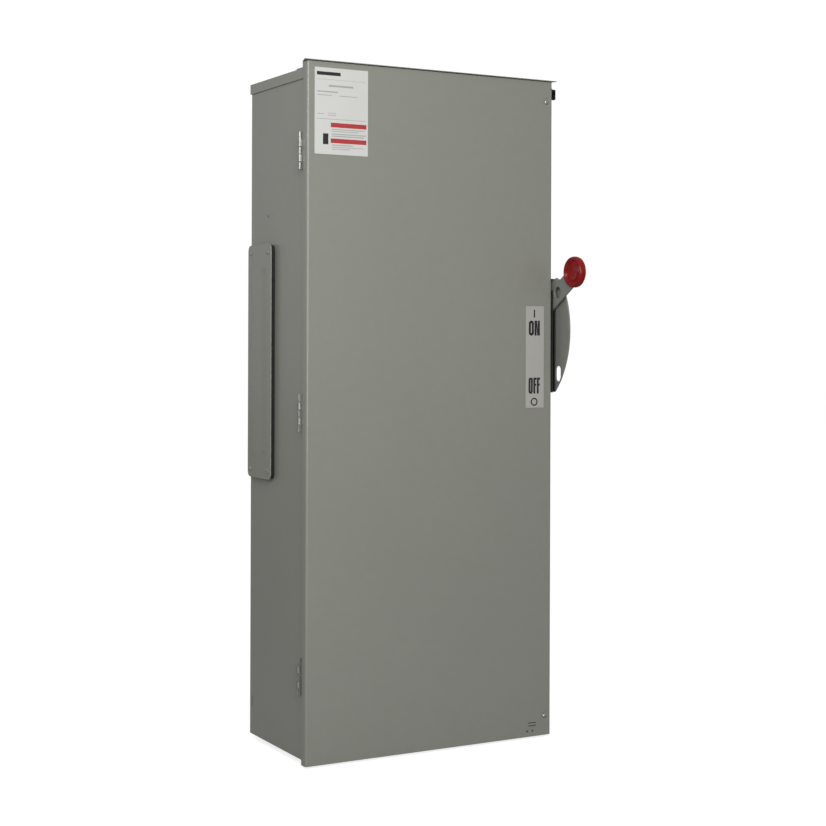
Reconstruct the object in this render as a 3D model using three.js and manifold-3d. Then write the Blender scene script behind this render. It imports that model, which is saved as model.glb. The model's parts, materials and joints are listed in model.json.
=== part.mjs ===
// A fusible AC disconnect switch in a tall wall-mounted sheet-steel enclosure.
// Millimetres, +Z up. The front faces -Y, and the origin is the centre of the back face,
// which meets the wall.
// The door swings on three hinges at the left, and the side handle works three knife blades inside.
import * as THREE from "three";
import { mergeVertices } from "three/addons/utils/BufferGeometryUtils.js";
import Module from "manifold-3d";

// ---- Driving dimensions ----
const GAP = 0.3; // clearance between separate pieces that touch on the real object
const SHEET = 2;

const BODY_WIDTH = 499;
const BODY_HEIGHT = 1209;
const BODY_DEPTH = 250;
const RETURN_FLANGE = 18.5;

const DOOR_WIDTH = 508.5;
const DOOR_FRONT_Y = -254;
const DOOR_FLANGE_DEPTH = 17;
const DOOR_TOP_Z = 614.9;
const DOOR_BOTTOM_Z = -611;

const HOOD = { width: 523, frontY: -258, riserY: -229, topZ: 617.1, thickness: 1.4, seatFlange: 25 };

const HINGE_AXIS = { x: -258.25, y: -232.5 };
const HINGE_Z = [460, 1, -458];
const KNUCKLE = { count: 5, length: 13.2, radius: 3.3, pin: 1.6, endPlay: 0.25 };

const DOOR_SCREW = { x: 241.75, z: [576.5, -575.5], head: 5, shank: 3, length: 22 };

const HANDLE_AXIS = { y: -133, z: 148.5 };
const HANDLE_ON_ANGLE = THREE.MathUtils.degToRad(32); // the lever's rise above level when the switch is on
const LEVER = { x0: 258.25, x1: 262.25, top: 15.1, armTop: 5, bottom: -29.8, shoulder: 162, end: 206 };
const LEVER_HOLE = { reach: 151.3, z: -11.25, radius: 10.9 };
const KNOB = { middleX: 260.4, reach: 216.2, z: -8.2, radius: 28.8, halfThickness: 7.4 };
const GUARD = {
  x0: 265.75,
  x1: 268.75,
  radius: 163,
  fromDegrees: -45.5,
  toDegrees: 36,
  bottom: -117.5,
  top: 99.5,
};

const ROTOR_AXIS = { y: -80, z: 100 };
// The pin's place from either axis, so that the two cranks and the link form a parallelogram.
const CRANK_PIN = { y: -30.7, z: -8.95 };
const POLE_X = [-85, 5, 95];
const BLADE = { halfThickness: 3, halfWidth: 8, length: 118, footRadius: 10, corner: 4, pinRadius: 3 };

const BASE_BACK_Y = -22.3;
const BASE_FRONT_Y = -60;
const BUS_BACK_Y = BASE_FRONT_Y - GAP;
const BUS_FRONT_Y = -66;
const FUSE_AXIS_Y = -97;

// ---- Solid helpers: three.js makes each shape, and manifold-3d joins and cuts ----
const wasm = await Module();
wasm.setup();

function solid(geometry) {
  geometry.deleteAttribute("normal");
  geometry.deleteAttribute("uv");
  const merged = mergeVertices(geometry, 1e-4);
  return new wasm.Manifold(
    new wasm.Mesh({
      numProp: 3,
      vertProperties: new Float32Array(merged.attributes.position.array),
      triVerts: new Uint32Array(merged.index.array),
    }),
  );
}

function box([x0, x1], [y0, y1], [z0, z1]) {
  const geometry = new THREE.BoxGeometry(x1 - x0, y1 - y0, z1 - z0);
  geometry.translate((x0 + x1) / 2, (y0 + y1) / 2, (z0 + z1) / 2);
  return solid(geometry);
}

// Turns a shape's own axes (u, v, depth) to the object's axes for an extrusion along X, Y or Z.
const BASES = {
  x: [new THREE.Vector3(0, 1, 0), new THREE.Vector3(0, 0, 1), new THREE.Vector3(1, 0, 0)],
  y: [new THREE.Vector3(1, 0, 0), new THREE.Vector3(0, 0, 1), new THREE.Vector3(0, -1, 0)],
  z: [new THREE.Vector3(1, 0, 0), new THREE.Vector3(0, 1, 0), new THREE.Vector3(0, 0, 1)],
};

// The outline's (u, v) is (y, z) for axis x, (x, z) for axis y and (x, y) for axis z.
function extrude(shape, axis, [from, to], curveSegments = 5) {
  const geometry = new THREE.ExtrudeGeometry(shape, {
    depth: to - from,
    bevelEnabled: false,
    curveSegments,
  });
  const start = axis === "y" ? to : from;
  geometry.applyMatrix4(new THREE.Matrix4().makeBasis(...BASES[axis]));
  geometry.translate(...["x", "y", "z"].map((name) => (name === axis ? start : 0)));
  return solid(geometry);
}

function polygon(points) {
  return new THREE.Shape(points.map(([u, v]) => new THREE.Vector2(u, v)));
}

// A closed outline with each corner rounded: every point is [u, v, corner radius].
function roundedOutline(points) {
  const shape = new THREE.Shape();
  points.forEach(([u, v, radius = 0], i) => {
    const here = new THREE.Vector2(u, v);
    const [before, after] = [points.at(i - 1), points[(i + 1) % points.length]].map((p) =>
      new THREE.Vector2(p[0], p[1]).sub(here).setLength(radius).add(here),
    );
    if (i === 0) shape.moveTo(before.x, before.y);
    else shape.lineTo(before.x, before.y);
    if (radius) shape.quadraticCurveTo(u, v, after.x, after.y);
  });
  return shape;
}

function roundedRectangle(u0, u1, v0, v1, radius) {
  return roundedOutline([
    [u0, v0, radius],
    [u1, v0, radius],
    [u1, v1, radius],
    [u0, v1, radius],
  ]);
}

// A cylinder along an axis; centre is its (u, v) as in extrude.
function cylinder(axis, radius, range, [u, v] = [0, 0], sides = 16) {
  const shape = new THREE.Shape();
  shape.absarc(u, v, radius, 0, 2 * Math.PI);
  return extrude(shape, axis, range, sides / 2); // three.js samples an arc at twice this count
}

function union(...solids) {
  return solids.reduce((all, next) => all.add(next));
}

function cut(base, ...tools) {
  return tools.reduce((left, tool) => left.subtract(tool), base);
}

function geometryOf(manifold) {
  const mesh = manifold.getMesh();
  const positions = new Float32Array(mesh.numVert * 3);
  for (let i = 0; i < mesh.numVert; i++) {
    const start = i * mesh.numProp;
    positions.set(mesh.vertProperties.subarray(start, start + 3), i * 3);
  }
  const indexed = new THREE.BufferGeometry();
  indexed.setAttribute("position", new THREE.BufferAttribute(positions, 3));
  indexed.setIndex(new THREE.BufferAttribute(mesh.triVerts, 1));
  const geometry = indexed.toNonIndexed();
  geometry.computeVertexNormals();
  return geometry;
}

// ---- Materials ----
const material = (color, roughness, metalness) =>
  new THREE.MeshStandardMaterial({ color, roughness, metalness });
const paint = material(0x8b8c84, 0.45, 0.1);
const handlePaint = material(0x74766f, 0.45, 0.1);
const blackSteel = material(0x141414, 0.5, 0.2);
const foam = material(0x1b1b1a, 0.95, 0);
const red = material(0xb01218, 0.3, 0);
const zinc = material(0xb9bbb8, 0.3, 1);
const galvanised = material(0xa7aba9, 0.5, 0.9);
const copper = material(0xb9765a, 0.3, 1);
const moulded = material(0x3a1d18, 0.5, 0);
const fibre = material(0x8a7f6b, 0.8, 0);
const label = material(0xd9dad6, 0.5, 0);
const clear = material(0xdfe8ea, 0.1, 0);
const nylon = material(0x202020, 0.4, 0);

// ---- Scene graph: one group for each body that moves ----
const disconnect = new THREE.Group();
const enclosure = new THREE.Group();
const door = new THREE.Group();
const handle = new THREE.Group();
const link = new THREE.Group();
const rotor = new THREE.Group();
door.position.set(HINGE_AXIS.x, HINGE_AXIS.y, 0);
handle.position.set(0, HANDLE_AXIS.y, HANDLE_AXIS.z);
link.position.set(0, HANDLE_AXIS.y + CRANK_PIN.y, HANDLE_AXIS.z + CRANK_PIN.z);
rotor.position.set(0, ROTOR_AXIS.y, ROTOR_AXIS.z);
disconnect.add(enclosure, door, handle, link, rotor);

function add(group, name, manifold, finish, place = {}) {
  const mesh = new THREE.Mesh(geometryOf(manifold), finish);
  mesh.name = name;
  mesh.position.set(place.x ?? 0, place.y ?? 0, place.z ?? 0);
  mesh.rotation.x = place.turn ?? 0;
  group.add(mesh);
}

// ---- Enclosure shell ----
const HALF_BODY = BODY_WIDTH / 2;
const BODY_TOP_Z = BODY_HEIGHT / 2;
const INNER_HALF = HALF_BODY - SHEET;
const ROOF_BOTTOM_Z = BODY_TOP_Z - SHEET;
const ROOF_RIM_X = HALF_BODY + GAP + SHEET;
const THROUGH = 1; // how far a cutting tool runs past the sheet that it cuts
const SIDE_WINDOW = { y: [-100, -22], z: [-100, 280] };
const WALL_BOLT = { x: 180, z: 540, radius: 5.5 };
const SCREW_HOLE_RADIUS = 4.5;
const SHAFT_BUSH_RADIUS = 12;
const HINGE_SLOT = { y: [-233.5, -228.5], halfHeight: 37 };
const ROOF_RIM = { drop: 18, behindDoor: 2 };
const CONDUIT = { x: 110, y: -125, radius: 38, groove: 2, depth: 0.8 };
const HOOD_CAP_GAP = 0.8;
const FLOOR_EDGE = 16; // how far the floor's edges turn up

// One sheet bent into the back, both sides and the two narrow returns that face the door.
function enclosureBody() {
  const bend = 3;
  const lip = HALF_BODY - RETURN_FLANGE;
  const front = -BODY_DEPTH;
  const outer = [
    [lip, front],
    [HALF_BODY, front, bend],
    [HALF_BODY, 0, bend],
    [-HALF_BODY, 0, bend],
    [-HALF_BODY, front, bend],
    [-lip, front],
  ];
  const inner = [
    [-lip, front + SHEET],
    [-INNER_HALF, front + SHEET, 1],
    [-INNER_HALF, -SHEET, 1],
    [INNER_HALF, -SHEET, 1],
    [INNER_HALF, front + SHEET, 1],
    [lip, front + SHEET],
  ];
  const wrap = extrude(
    roundedOutline([...outer, ...inner].reverse()),
    "z",
    [-BODY_TOP_Z, ROOF_BOTTOM_Z - GAP],
    2,
  );
  const leftWall = [-HALF_BODY - THROUGH, -INNER_HALF + THROUGH];
  const window = box(leftWall, SIDE_WINDOW.y, SIDE_WINDOW.z);
  const shaftHole = cylinder(
    "x",
    SHAFT_BUSH_RADIUS + GAP,
    [INNER_HALF - THROUGH, HALF_BODY + THROUGH],
    [HANDLE_AXIS.y, HANDLE_AXIS.z],
  );
  const backSheet = [-SHEET - THROUGH, THROUGH];
  const wallHoles = [-WALL_BOLT.x, WALL_BOLT.x].flatMap((x) =>
    [-WALL_BOLT.z, WALL_BOLT.z].map((z) => cylinder("y", WALL_BOLT.radius, backSheet, [x, z], 12)),
  );
  const returnSheet = [-BODY_DEPTH - THROUGH, -BODY_DEPTH + SHEET + THROUGH];
  const screwHoles = DOOR_SCREW.z.map((z) =>
    cylinder("y", SCREW_HOLE_RADIUS, returnSheet, [DOOR_SCREW.x, z], 12),
  );
  const hingeSlots = HINGE_Z.map((z) =>
    box(leftWall, HINGE_SLOT.y, [z - HINGE_SLOT.halfHeight, z + HINGE_SLOT.halfHeight]),
  );
  return cut(wrap, window, shaftHole, ...wallHoles, ...screwHoles, ...hingeSlots);
}

// The roof lies on the side walls, and its rims turn down outside them behind the door.
function topEndwall() {
  const rimOuter = ROOF_RIM_X;
  const rimFrontY = DOOR_FRONT_Y + DOOR_FLANGE_DEPTH + ROOF_RIM.behindDoor;
  const plate = box([-HALF_BODY, HALF_BODY], [-BODY_DEPTH, 0], [ROOF_BOTTOM_Z, BODY_TOP_Z]);
  const wide = box([-rimOuter, rimOuter], [rimFrontY, 0], [ROOF_BOTTOM_Z, BODY_TOP_Z]);
  const rims = [-1, 1].map((side) => {
    const range = [side * (HALF_BODY + GAP), side * rimOuter].sort((a, b) => a - b);
    return box(range, [rimFrontY, 0], [BODY_TOP_Z - ROOF_RIM.drop, BODY_TOP_Z]);
  });
  return union(plate, wide, ...rims);
}

// The drip hood is riveted to the roof, steps up behind the door and reaches out over its top edge,
// widening to the front. A narrow cap closes each end behind the door.
function dripHood() {
  const { width, frontY, riserY, topZ, thickness, seatFlange } = HOOD;
  const seat = BODY_TOP_Z + GAP;
  const awning = extrude(
    polygon([
      [-width / 2, frontY],
      [width / 2, frontY],
      [ROOF_RIM_X, riserY],
      [-ROOF_RIM_X, riserY],
    ]),
    "z",
    [topZ - thickness, topZ],
  );
  const across = [-ROOF_RIM_X, ROOF_RIM_X];
  const riser = box(across, [riserY - thickness, riserY], [seat, topZ]);
  const flange = box(across, [riserY - thickness, riserY + seatFlange], [seat, seat + thickness]);
  const capY = [DOOR_FRONT_Y + DOOR_FLANGE_DEPTH + HOOD_CAP_GAP, riserY];
  const endCaps = [-1, 1].map((side) => {
    const range = [side * (ROOF_RIM_X - thickness), side * ROOF_RIM_X].sort((a, b) => a - b);
    return box(range, capY, [seat, topZ]);
  });
  return union(awning, riser, flange, ...endCaps);
}

// The floor of the enclosure: a plate whose edges turn up inside the walls, with two conduit knockouts.
function bottomEndwall() {
  const half = INNER_HALF - GAP;
  const frontY = -BODY_DEPTH + SHEET + GAP;
  const tray = box([-half, half], [frontY, -SHEET - GAP], [-BODY_TOP_Z, -BODY_TOP_Z + FLOOR_EDGE]);
  const hollow = box(
    [-half + SHEET, half - SHEET],
    [frontY + SHEET, -SHEET - GAP - SHEET],
    [-BODY_TOP_Z + SHEET, -BODY_TOP_Z + FLOOR_EDGE + THROUGH],
  );
  const { radius, groove, depth } = CONDUIT;
  const cutZ = [-BODY_TOP_Z - THROUGH, -BODY_TOP_Z + depth];
  const grooves = [-CONDUIT.x, CONDUIT.x].map((x) => {
    const centre = [x, CONDUIT.y];
    return cut(cylinder("z", radius, cutZ, centre, 20), cylinder("z", radius - groove, cutZ, centre, 20));
  });
  return cut(tray, hollow, ...grooves);
}

add(enclosure, "enclosure_body", enclosureBody(), paint);
add(enclosure, "top_endwall", topEndwall(), paint);
add(enclosure, "drip_hood", dripHood(), paint);
add(enclosure, "bottom_endwall", bottomEndwall(), paint);

// ---- Left side: the pressed cover over the bus window, on its foam gasket ----
const COVER = { y: [-112, -9], z: [-124.5, 303.5], corner: 12 };
const PRESSING = { insetY: 31, insetZ: 46, corner: 10, flat: 0.5, height: 4.5, slope: 11 };
const GASKET_THICKNESS = 6.8;
const COVER_BACK_X = -HALF_BODY - GAP - GASKET_THICKNESS - GAP;

function coverOutline(inset, corner) {
  const [y0, y1] = COVER.y;
  const [z0, z1] = COVER.z;
  return roundedRectangle(y0 + inset, y1 - inset, z0 + inset, z1 - inset, corner);
}

function sideCoverGasket() {
  const range = [COVER_BACK_X + GAP, -HALF_BODY - GAP];
  const ring = extrude(coverOutline(SHEET, COVER.corner - 1), "x", range, 4);
  const hole = box([range[0] - THROUGH, range[1] + THROUGH], SIDE_WINDOW.y, SIDE_WINDOW.z);
  return cut(ring, hole);
}

function sideCover() {
  const flat = extrude(coverOutline(0, COVER.corner), "x", [COVER_BACK_X - SHEET, COVER_BACK_X], 4);
  const { insetY, insetZ, corner, flat: depth, height, slope } = PRESSING;
  const across = [COVER.y[0] + insetY, COVER.y[1] - insetY];
  const upright = [COVER.z[0] + insetZ, COVER.z[1] - insetZ];
  const pressing = new THREE.ExtrudeGeometry(
    roundedRectangle(...across, ...upright, corner),
    { depth, bevelThickness: height, bevelSize: slope, bevelSegments: 1, curveSegments: 4 },
  );
  pressing.applyMatrix4(new THREE.Matrix4().makeBasis(...BASES.x));
  pressing.translate(COVER_BACK_X - SHEET, 0, 0);
  const behind = box([COVER_BACK_X, COVER_BACK_X + 2 * height], COVER.y, COVER.z);
  return cut(union(flat, solid(pressing)), behind);
}

add(enclosure, "side_cover_gasket", sideCoverGasket(), foam);
add(enclosure, "side_cover", sideCover(), paint);

// ---- Door: a pressed pan with rounded front edges ----
const HALF_DOOR = DOOR_WIDTH / 2;
const DOOR_FLANGE_Y = DOOR_FRONT_Y + DOOR_FLANGE_DEPTH;
const toDoor = { x: -HINGE_AXIS.x, y: -HINGE_AXIS.y };

const DOOR_BEND = 4;

function doorPanel() {
  const bend = DOOR_BEND;
  const inner = HALF_DOOR - SHEET;
  const channel = extrude(
    roundedOutline([
      [-HALF_DOOR, DOOR_FLANGE_Y],
      [-HALF_DOOR, DOOR_FRONT_Y, bend],
      [HALF_DOOR, DOOR_FRONT_Y, bend],
      [HALF_DOOR, DOOR_FLANGE_Y],
      [inner, DOOR_FLANGE_Y],
      [inner, DOOR_FRONT_Y + SHEET, bend - SHEET],
      [-inner, DOOR_FRONT_Y + SHEET, bend - SHEET],
      [-inner, DOOR_FLANGE_Y],
    ]),
    "z",
    [DOOR_BOTTOM_Z, DOOR_TOP_Z],
    4,
  );
  const span = [-inner - SHEET / 2, inner + SHEET / 2];
  const depth = [DOOR_FRONT_Y + SHEET / 2, DOOR_FLANGE_Y];
  const top = box(span, depth, [DOOR_TOP_Z - SHEET, DOOR_TOP_Z]);
  const bottom = box(span, depth, [DOOR_BOTTOM_Z, DOOR_BOTTOM_Z + SHEET]);
  const frontSheet = [DOOR_FRONT_Y - THROUGH, DOOR_FRONT_Y + SHEET + THROUGH];
  const holes = DOOR_SCREW.z.map((z) =>
    cylinder("y", DOOR_SCREW.shank + 1, frontSheet, [DOOR_SCREW.x, z], 12),
  );
  return cut(union(channel, top, bottom), ...holes);
}

// A hat-section channel spot-welded down the middle of the door.
const STIFFENER = { crown: 18, brim: 36, depth: 10, sheet: 1.5, halfHeight: 560 };

function doorStiffener() {
  const { crown, brim, depth, sheet, halfHeight } = STIFFENER;
  const back = DOOR_FRONT_Y + SHEET + GAP;
  const profile = polygon([
    [-brim, back],
    [-crown, back],
    [-crown, back + depth],
    [crown, back + depth],
    [crown, back],
    [brim, back],
    [brim, back + sheet],
    [crown + sheet, back + sheet],
    [crown + sheet, back + depth + sheet],
    [-crown - sheet, back + depth + sheet],
    [-crown - sheet, back + sheet],
    [-brim, back + sheet],
  ]);
  return extrude(profile, "z", [-halfHeight, halfHeight]);
}

const LABEL_THICKNESS = 0.5;
const NAMEPLATE = { x: [-240.5, -136.3], z: [453.5, 604.5] };
const ON_OFF_LABEL = { x: [196.2, 236.5], z: [3.5, 193.5] };

function doorLabel({ x, z }) {
  return box(x, [DOOR_FRONT_Y - GAP - LABEL_THICKNESS, DOOR_FRONT_Y - GAP], z);
}

// The locking tab on the door's edge lies just in front of the hasp on the wall behind it.
const HASP = { z: [584.8, 603.8], outerX: 270.8, holeX: 263.5, holeRadius: 4.5, foot: 2.5, tab: 2.8 };
const DOOR_HASP = { footY: [-250, -237.5], tabBackY: -237.5 };
const WALL_HASP = { footY: [-235.5, -205], tabBackY: -232.7 };

function hasp({ footY, tabBackY }, wallX) {
  const tabY = [tabBackY - HASP.tab, tabBackY];
  const foot = box([wallX, wallX + HASP.foot], footY, HASP.z);
  const tab = box([wallX, HASP.outerX], tabY, HASP.z);
  const middleZ = (HASP.z[0] + HASP.z[1]) / 2;
  const through = [tabY[0] - THROUGH, tabY[1] + THROUGH];
  const hole = cylinder("y", HASP.holeRadius, through, [HASP.holeX, middleZ], 14);
  return cut(union(foot, tab), hole);
}

add(door, "door_panel", doorPanel(), paint, toDoor);
add(door, "door_stiffener", doorStiffener(), paint, toDoor);
add(door, "nameplate_label", doorLabel(NAMEPLATE), label, toDoor);
add(door, "on_off_label", doorLabel(ON_OFF_LABEL), label, toDoor);
add(door, "door_hasp", hasp(DOOR_HASP, HALF_DOOR + GAP), blackSteel, toDoor);
add(enclosure, "wall_hasp", hasp(WALL_HASP, ROOF_RIM_X + GAP), blackSteel);

// ---- Hinges: five knuckles each, two on the door's leaf and three on the body's ----
const KNUCKLE_SPAN = KNUCKLE.count * KNUCKLE.length;

const LEAF_HEIGHT = [-KNUCKLE_SPAN / 2, KNUCKLE_SPAN / 2];
const BODY_LEAF = { reach: 12.5, front: 0.9, back: 24, web: 1.3, flat: 1.4 };
const DOOR_LEAF = { reach: 7.6, front: -17, back: -1.8, neck: 1.3, flat: 1.3 };
const WEB_CLEARANCE = 0.6;
const PIN_OVERHANG = 1.02;

// Outer knuckles belong to the body's leaf, and the ones between them to the door's leaf.
function knuckles(firstIndex, radius, endPlay, sides) {
  const barrels = [];
  for (let i = firstIndex; i < KNUCKLE.count; i += 2) {
    const low = -KNUCKLE_SPAN / 2 + i * KNUCKLE.length;
    barrels.push(cylinder("z", radius, [low + endPlay, low + KNUCKLE.length - endPlay], [0, 0], sides));
  }
  return barrels;
}

// Joins a leaf's own knuckles to its plates, cuts the plates back from the other leaf's knuckles
// and bores the leaf for the pin.
function leaf(plates, firstIndex) {
  const rooms = knuckles(1 - firstIndex, KNUCKLE.radius + WEB_CLEARANCE, -KNUCKLE.endPlay, 10);
  const barrels = knuckles(firstIndex, KNUCKLE.radius, KNUCKLE.endPlay, 12);
  const bore = cylinder("z", KNUCKLE.pin + GAP, [-KNUCKLE_SPAN, KNUCKLE_SPAN], [0, 0], 8);
  return cut(union(cut(union(...plates), ...rooms), ...barrels), bore);
}

// The body's leaf passes through a slot in the side wall and lies flat inside it.
function bodyLeaf() {
  const { reach, front, back, web, flat } = BODY_LEAF;
  const plates = [
    box([0, reach], [front, front + web], LEAF_HEIGHT),
    box([reach - flat, reach], [front, back], LEAF_HEIGHT),
  ];
  return leaf(plates, 0);
}

// The door's leaf hooks round the rear edge of the door's flange and lies flat inside it.
function doorLeaf() {
  const { reach, front, back, neck, flat } = DOOR_LEAF;
  const plates = [
    box([0, reach], [back - neck, back], LEAF_HEIGHT),
    box([reach - flat, reach], [front, back], LEAF_HEIGHT),
  ];
  return leaf(plates, 1);
}

HINGE_Z.forEach((z, i) => {
  const number = i + 1;
  const pin = cylinder("z", KNUCKLE.pin, LEAF_HEIGHT.map((end) => end * PIN_OVERHANG), [0, 0], 8);
  const onAxis = { x: HINGE_AXIS.x, y: HINGE_AXIS.y, z };
  add(enclosure, `hinge_body_leaf_${number}`, bodyLeaf(), zinc, onAxis);
  add(enclosure, `hinge_pin_${number}`, pin, zinc, onAxis);
  add(door, `hinge_door_leaf_${number}`, doorLeaf(), zinc, { z });
});

// ---- Captive door screws: domed slotted heads with a shank through the body's return flange ----
const SCREW_DOME = { rim: 0.7, height: 3.3, slotHalf: 0.7, slotDepth: 1.5 };

function doorScrew() {
  const { head, shank, length } = DOOR_SCREW;
  const { rim, height, slotHalf, slotDepth } = SCREW_DOME;
  const profile = [
    [0, 0],
    [head * 0.9, 0],
    [head, rim],
    [head * 0.75, height * 0.75],
    [head * 0.4, height * 0.95],
    [0, height],
  ].map(([r, y]) => new THREE.Vector2(r, y));
  const dome = new THREE.LatheGeometry(profile, 14);
  dome.rotateX(Math.PI); // the dome faces -Y
  const slotY = [-height - THROUGH, slotDepth - height];
  const slot = box([-head - THROUGH, head + THROUGH], slotY, [-slotHalf, slotHalf]);
  return union(cut(solid(dome), slot), cylinder("y", shank, [0, length], [0, 0], 12));
}

DOOR_SCREW.z.forEach((z, i) => {
  const name = ["door_screw_top", "door_screw_bottom"][i];
  add(disconnect, name, doorScrew(), zinc, { x: DOOR_SCREW.x, y: DOOR_FRONT_Y - GAP, z });
});

// ---- Handle: flat lever, round grip, shaft and inner crank, all turning about one cross shaft ----
const SHAFT_RADIUS = 8;
const CRANK_X = [161.4, 166.4];
const LINK_X = [155.8, 160.8];
const ROTOR_CRANK_X = [150.2, 155.2];
const CRANK_PIN_RADIUS = 4;
const LINK_EYE_RADIUS = 8;
const STEP = 6; // how far out the lever's top edge drops to the arm

function lever() {
  const { x0, x1, top, armTop, bottom, shoulder, end } = LEVER;
  const plate = extrude(
    roundedOutline([
      [4, top],
      [-shoulder, top, 1],
      [-shoulder - STEP, armTop, 1],
      [-end, armTop],
      [-end, bottom],
      [0, bottom],
    ]),
    "x",
    [x0, x1],
    3,
  );
  const hub = cylinder("x", -bottom, [x0, x1], [0, 0], 24);
  const through = [x0 - THROUGH, x1 + THROUGH];
  const bore = cylinder("x", SHAFT_RADIUS + GAP, through);
  const padlock = cylinder("x", LEVER_HOLE.radius, through, [-LEVER_HOLE.reach, LEVER_HOLE.z], 24);
  return cut(union(hub, plate), bore, padlock);
}

const GRIP_DISH = 3;

// A thick round grip with a shallow dish in both faces, slotted for the lever's end.
function grip() {
  const { middleX, radius, halfThickness: half, reach, z } = KNOB;
  const halfProfile = [
    [0, half - GRIP_DISH],
    [radius * 0.57, half - GRIP_DISH],
    [radius * 0.73, half],
    [radius * 0.9, half - 1],
    [radius, half * 0.3],
  ];
  const lower = halfProfile.map(([r, x]) => new THREE.Vector2(r, -x));
  const upper = halfProfile.map(([r, x]) => new THREE.Vector2(r, x)).reverse();
  const disc = new THREE.LatheGeometry([...lower, ...upper], 24);
  disc.rotateZ(-Math.PI / 2); // the lathe's axis becomes X
  disc.translate(middleX, -reach, z);
  const room = box(
    [LEVER.x0 - GAP, LEVER.x1 + GAP],
    [-LEVER.end - GAP, -reach + radius + THROUGH],
    [LEVER.bottom - GAP, LEVER.armTop + GAP],
  );
  return cut(solid(disc), room);
}

const SHAFT_CRANK = { back: 12, top: 13, half: 7, beyondPin: 8 };

function shaftCrank() {
  const { back, top, half, beyondPin } = SHAFT_CRANK;
  const plate = extrude(
    polygon([
      [back, -top],
      [back, top],
      [-back, top],
      [CRANK_PIN.y - beyondPin, CRANK_PIN.z + half],
      [CRANK_PIN.y - beyondPin, CRANK_PIN.z - half],
    ]),
    "x",
    CRANK_X,
  );
  const pin = cylinder("x", CRANK_PIN_RADIUS, [LINK_X[0], CRANK_X[0]], [CRANK_PIN.y, CRANK_PIN.z], 14);
  const bore = cylinder("x", SHAFT_RADIUS + GAP, [CRANK_X[0] - THROUGH, CRANK_X[1] + THROUGH]);
  return cut(union(plate, pin), bore);
}

const SHAFT_INNER_X = 161;
const BOLT = { radius: 10, height: 5.5 };
const leverTurn = { turn: -HANDLE_ON_ANGLE };
add(handle, "handle_lever", lever(), handlePaint, leverTurn);
add(handle, "handle_grip", grip(), red, leverTurn);
add(handle, "operating_shaft", cylinder("x", SHAFT_RADIUS, [SHAFT_INNER_X, LEVER.x1 - GAP]), zinc);
const boltX = [LEVER.x1 + GAP, LEVER.x1 + GAP + BOLT.height];
add(handle, "handle_bolt", cylinder("x", BOLT.radius, boltX, [0, 0], 6), zinc, leverTurn);
add(handle, "shaft_crank", shaftCrank(), galvanised);

// ---- Handle guard: a quarter disc beside the lever that takes the padlock when the switch is off ----
// Its three feet turn in to the side wall. Lengths are from the handle's axis.
const GUARD_FOOT = { sheet: 3, frontY: -76, backY: -51, length: 16.5 };
const GUARD_TAIL = { y: 64, halfHeight: 12, length: 17 };
const GUARD_WAIST = { y: [-18, 24], z: 31, upperZ: 66, lowerZ: -84 };
const GUARD_SLOT = { y: [-134.5, -118], z: [-96, -67], corner: 8 };
const BOLT_OPENING_RADIUS = 14;
const WEAR_PAD = { x0: 263, y: [-117.8, -92], z: [-115.5, 84] };

function guardOutline() {
  const { radius, bottom, top } = GUARD;
  const [from, to] = [GUARD.fromDegrees, GUARD.toDegrees].map(THREE.MathUtils.degToRad);
  const { frontY, backY } = GUARD_FOOT;
  const { y: tailY, halfHeight } = GUARD_TAIL;
  const { y: waistY, z: waistZ, upperZ, lowerZ } = GUARD_WAIST;
  const outline = new THREE.Shape();
  outline.moveTo(backY, bottom);
  outline.lineTo(frontY, bottom);
  const steps = 20;
  for (let i = 0; i <= steps; i++) {
    const angle = from + ((to - from) * i) / steps;
    outline.lineTo(-radius * Math.cos(angle), radius * Math.sin(angle));
  }
  const rest = [
    [frontY, top],
    [backY, top],
    [backY, upperZ],
    [waistY[0], waistZ],
    [waistY[1], waistZ],
    [tailY - 2 * halfHeight, halfHeight],
    [tailY, halfHeight],
    [tailY, -halfHeight],
    [tailY - 2 * halfHeight, -halfHeight],
    [waistY[1], -waistZ],
    [waistY[0], -waistZ],
    [backY, lowerZ],
  ];
  rest.forEach(([y, z]) => outline.lineTo(y, z));
  return outline;
}

function handleGuard() {
  const { x0, x1, bottom, top } = GUARD;
  const { sheet, frontY, backY, length } = GUARD_FOOT;
  const { y: tailY, halfHeight, length: tailLength } = GUARD_TAIL;
  const plate = extrude(guardOutline(), "x", [x0, x1]);
  const wallX = HALF_BODY + GAP;
  const outward = [wallX, x1];
  const onWall = [wallX, wallX + sheet];
  const feet = [
    box(outward, [frontY, backY], [top - sheet, top]),
    box(onWall, [frontY, backY], [top - sheet, top + length]),
    box(outward, [frontY, backY], [bottom, bottom + sheet]),
    box(onWall, [frontY, backY], [bottom - length, bottom + sheet]),
    box(outward, [tailY - sheet, tailY], [-halfHeight, halfHeight]),
    box(onWall, [tailY - sheet, tailY + tailLength], [-halfHeight, halfHeight]),
  ];
  const through = [x0 - THROUGH, x1 + THROUGH];
  const { y, z, corner } = GUARD_SLOT;
  const slot = extrude(roundedRectangle(...y, ...z, corner), "x", through, 4);
  return cut(union(plate, ...feet), slot, cylinder("x", BOLT_OPENING_RADIUS, through, [0, 0], 24));
}

const atHandleAxis = { y: HANDLE_AXIS.y, z: HANDLE_AXIS.z };
const wearPad = box([WEAR_PAD.x0, GUARD.x0 - GAP], WEAR_PAD.y, WEAR_PAD.z);
add(enclosure, "handle_guard", handleGuard(), handlePaint, atHandleAxis);
add(enclosure, "guard_wear_pad", wearPad, nylon, atHandleAxis);

// A flanged bush lines the hole in the side wall and spaces the lever out from it.
const BUSH = { flangeRadius: 18, insideLength: 4 };

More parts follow.
